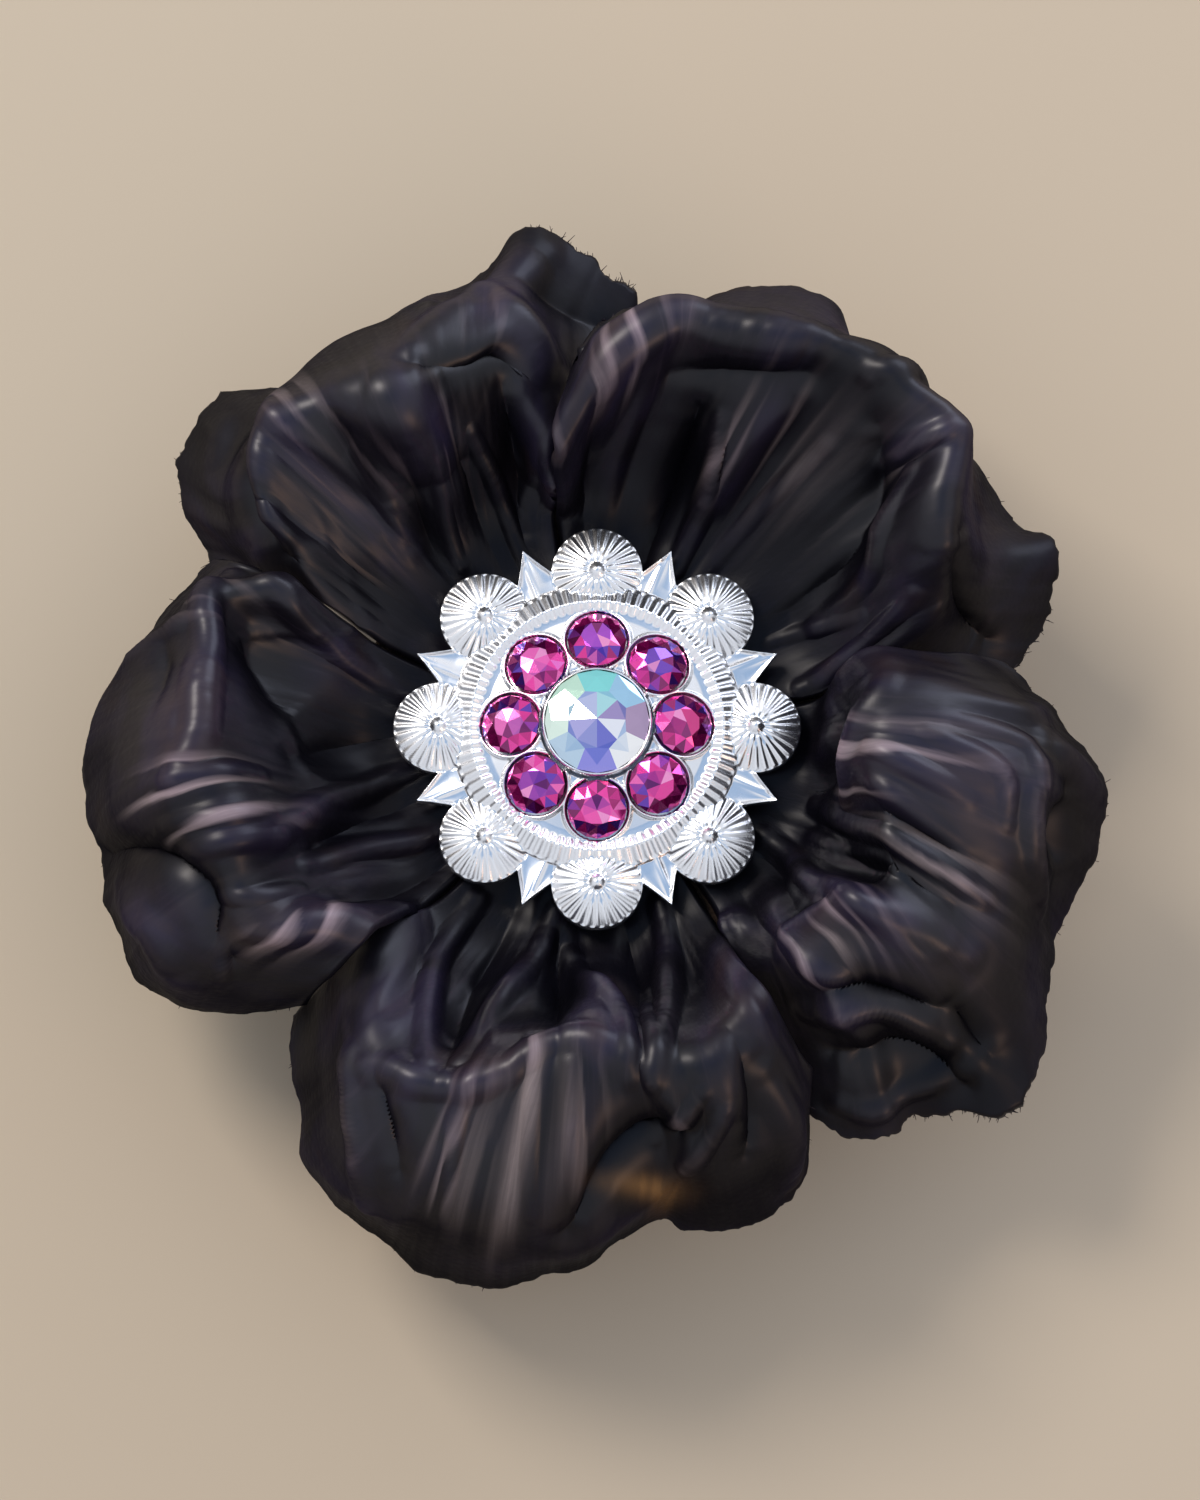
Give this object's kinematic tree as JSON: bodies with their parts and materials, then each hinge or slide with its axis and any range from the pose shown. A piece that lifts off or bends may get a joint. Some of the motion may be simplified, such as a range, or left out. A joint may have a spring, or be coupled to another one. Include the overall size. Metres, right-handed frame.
{
  "type": "flower hair clip",
  "caption": "Wet-formed black leather flower with a crystal-set berry concho at its middle, on a sprung toothed alligator hair clip.",
  "frame": {"origin": "on the concho's axis, on the flat underside of the clip's fixed arm, which grips the hair", "axes": "+Z the way the flower faces, +X along the clip from the thumb lever to the toothed tip, +Y to complete a right-handed frame"},
  "size_m": [0.0797, 0.0824, 0.0303],
  "materials": {
    "black_leather": "black dyed veg-tan leather, wet-formed and waxed to a half gloss, with frayed edges",
    "backing_leather": "undyed-edge dark leather, matt flesh side",
    "black_felt": "matt black wool felt",
    "silver_plate": "bright silver-plated zinc casting",
    "fuchsia_crystal": "foil-backed fuchsia glass with an aurora coating",
    "clear_crystal": "foil-backed clear glass with an aurora coating",
    "nickel_steel": "nickel-plated stamped steel",
    "spring_steel": "bare drawn spring wire"
  },
  "bodies": {
    "flower": {"petal_upper_left": "black_leather", "petal_upper_right": "black_leather", "petal_right": "black_leather", "petal_lower": "black_leather", "petal_left": "black_leather", "leather_base_disc": "backing_leather", "felt_backing": "black_felt", "clip_keeper_strap": "backing_leather", "concho": "silver_plate", "accent_crystal_1": "fuchsia_crystal", "accent_crystal_2": "fuchsia_crystal", "accent_crystal_3": "fuchsia_crystal", "accent_crystal_4": "fuchsia_crystal", "accent_crystal_5": "fuchsia_crystal", "accent_crystal_6": "fuchsia_crystal", "accent_crystal_7": "fuchsia_crystal", "accent_crystal_8": "fuchsia_crystal", "centre_crystal": "clear_crystal", "crystal_cup": "silver_plate", "concho_screw": "nickel_steel", "clip_fixed_arm": "nickel_steel", "clip_hinge_pin": "nickel_steel", "clip_spring": "spring_steel"},
    "jaw": {"clip_moving_jaw": "nickel_steel"}
  },
  "joints": [
    {"name": "jaw_hinge", "type": "hinge", "parent": "flower", "child": "jaw", "pos_m": [-0.009, 0, -0.0028], "axis": [0, 1, 0], "range_deg": [0, 26], "stiffness_Nm_per_rad": 0.03, "springref_deg": -20.05, "deforming": ["clip_spring"]}
  ]
}
